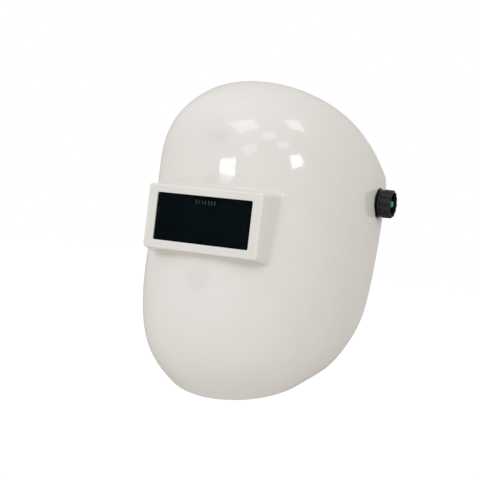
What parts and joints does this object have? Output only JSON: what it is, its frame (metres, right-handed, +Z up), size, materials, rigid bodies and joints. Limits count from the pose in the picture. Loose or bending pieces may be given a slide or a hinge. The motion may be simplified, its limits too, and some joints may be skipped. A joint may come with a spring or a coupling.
{
  "type": "welding helmet",
  "caption": "Welding helmet with a moulded face and throat shell, a fixed dark filter window, ear pivots with tension knobs and an adjustable ratchet headgear.",
  "frame": {"origin": "middle of the hinge line between the two ear pivots, inside the headband where a head holds the helmet", "axes": "+X to the wearer's left, -Y to the front with the window plane upright, +Z up, shell lowered"},
  "size_m": [0.2488, 0.334, 0.325],
  "materials": {
    "shell": "glossy white moulding",
    "filter": "polished dark filter",
    "clear": "clear polycarbonate",
    "rubber": "matt",
    "knob": "semi-gloss black moulding",
    "black_plastic": "satin",
    "strap_plastic": "satin flexible strap",
    "green_nylon": "satin nylon",
    "steel": "zinc plated",
    "foam": "soft knitted cover over foam"
  },
  "bodies": {
    "headgear": {"headband": "strap_plastic", "sweatband": "foam", "crown_strap_left": "strap_plastic", "crown_strap_right": "strap_plastic", "crown_peg": "green_nylon", "pivot_bracket_left": "black_plastic", "pivot_bracket_right": "black_plastic", "stop_plate_left": "black_plastic", "stop_plate_right": "black_plastic", "inner_washer_left": "rubber", "inner_washer_right": "rubber", "pivot_stud_left": "green_nylon", "pivot_stud_right": "green_nylon", "front_rivet_left": "green_nylon", "front_rivet_right": "green_nylon", "rear_rivet_left": "green_nylon", "rear_rivet_right": "green_nylon"},
    "helmet_shell": {"shell": "shell"},
    "lens_pack": {"cover_lens": "clear", "filter_plate": "filter", "lens_gasket": "rubber", "inner_cover_lens": "clear", "lens_retainer": "black_plastic"},
    "left_knob": {"tension_knob_left": "knob", "outer_washer_left": "knob"},
    "right_knob": {"tension_knob_right": "knob", "outer_washer_right": "knob"},
    "rear_unit": {"ratchet_housing": "black_plastic", "ratchet_back_plate": "black_plastic", "nape_pad": "foam", "pawl_spring": "steel", "housing_screw_left": "steel", "housing_screw_right": "steel"},
    "ratchet_drive": {"ratchet_knob": "knob", "pinion_shaft": "green_nylon"},
    "left_rack": {"rack_left": "strap_plastic"},
    "right_rack": {"rack_right": "strap_plastic"}
  },
  "joints": [
    {"name": "shell_flip", "type": "hinge", "parent": "headgear", "child": "helmet_shell", "pos_m": [0, 0, 0], "axis": [-1, 0, 0], "range_deg": [0, 80]},
    {"name": "lens_pack_slide", "type": "slide", "parent": "helmet_shell", "child": "lens_pack", "axis": [0, 1, 0], "range_m": [0, 0.045]},
    {"name": "left_knob_turn", "type": "hinge", "parent": "headgear", "child": "left_knob", "pos_m": [0.1092, 0, 0], "axis": [1, 0, 0], "range_deg": [-20, 360]},
    {"name": "right_knob_turn", "type": "hinge", "parent": "headgear", "child": "right_knob", "pos_m": [-0.1092, 0, 0], "axis": [-1, 0, 0], "range_deg": [-20, 360]},
    {"name": "rear_unit_slide", "type": "slide", "parent": "headgear", "child": "rear_unit", "axis": [0, -1, 0], "range_m": [0, 0.008]},
    {"name": "ratchet_turn", "type": "hinge", "parent": "rear_unit", "child": "ratchet_drive", "pos_m": [0, 0.095, -0.022], "axis": [0, -1, 0], "range_deg": [0, 92]},
    {"name": "left_rack_slide", "type": "slide", "parent": "rear_unit", "child": "left_rack", "axis": [-1, 0, 0], "range_m": [0, 0.008]},
    {"name": "right_rack_slide", "type": "slide", "parent": "rear_unit", "child": "right_rack", "axis": [1, 0, 0], "range_m": [0, 0.008]}
  ],
  "couplings": [
    {"joint": "ratchet_turn", "follows": "rear_unit_slide", "rad_per_m": 200},
    {"joint": "left_rack_slide", "follows": "rear_unit_slide", "ratio": 1},
    {"joint": "right_rack_slide", "follows": "rear_unit_slide", "ratio": 1}
  ]
}
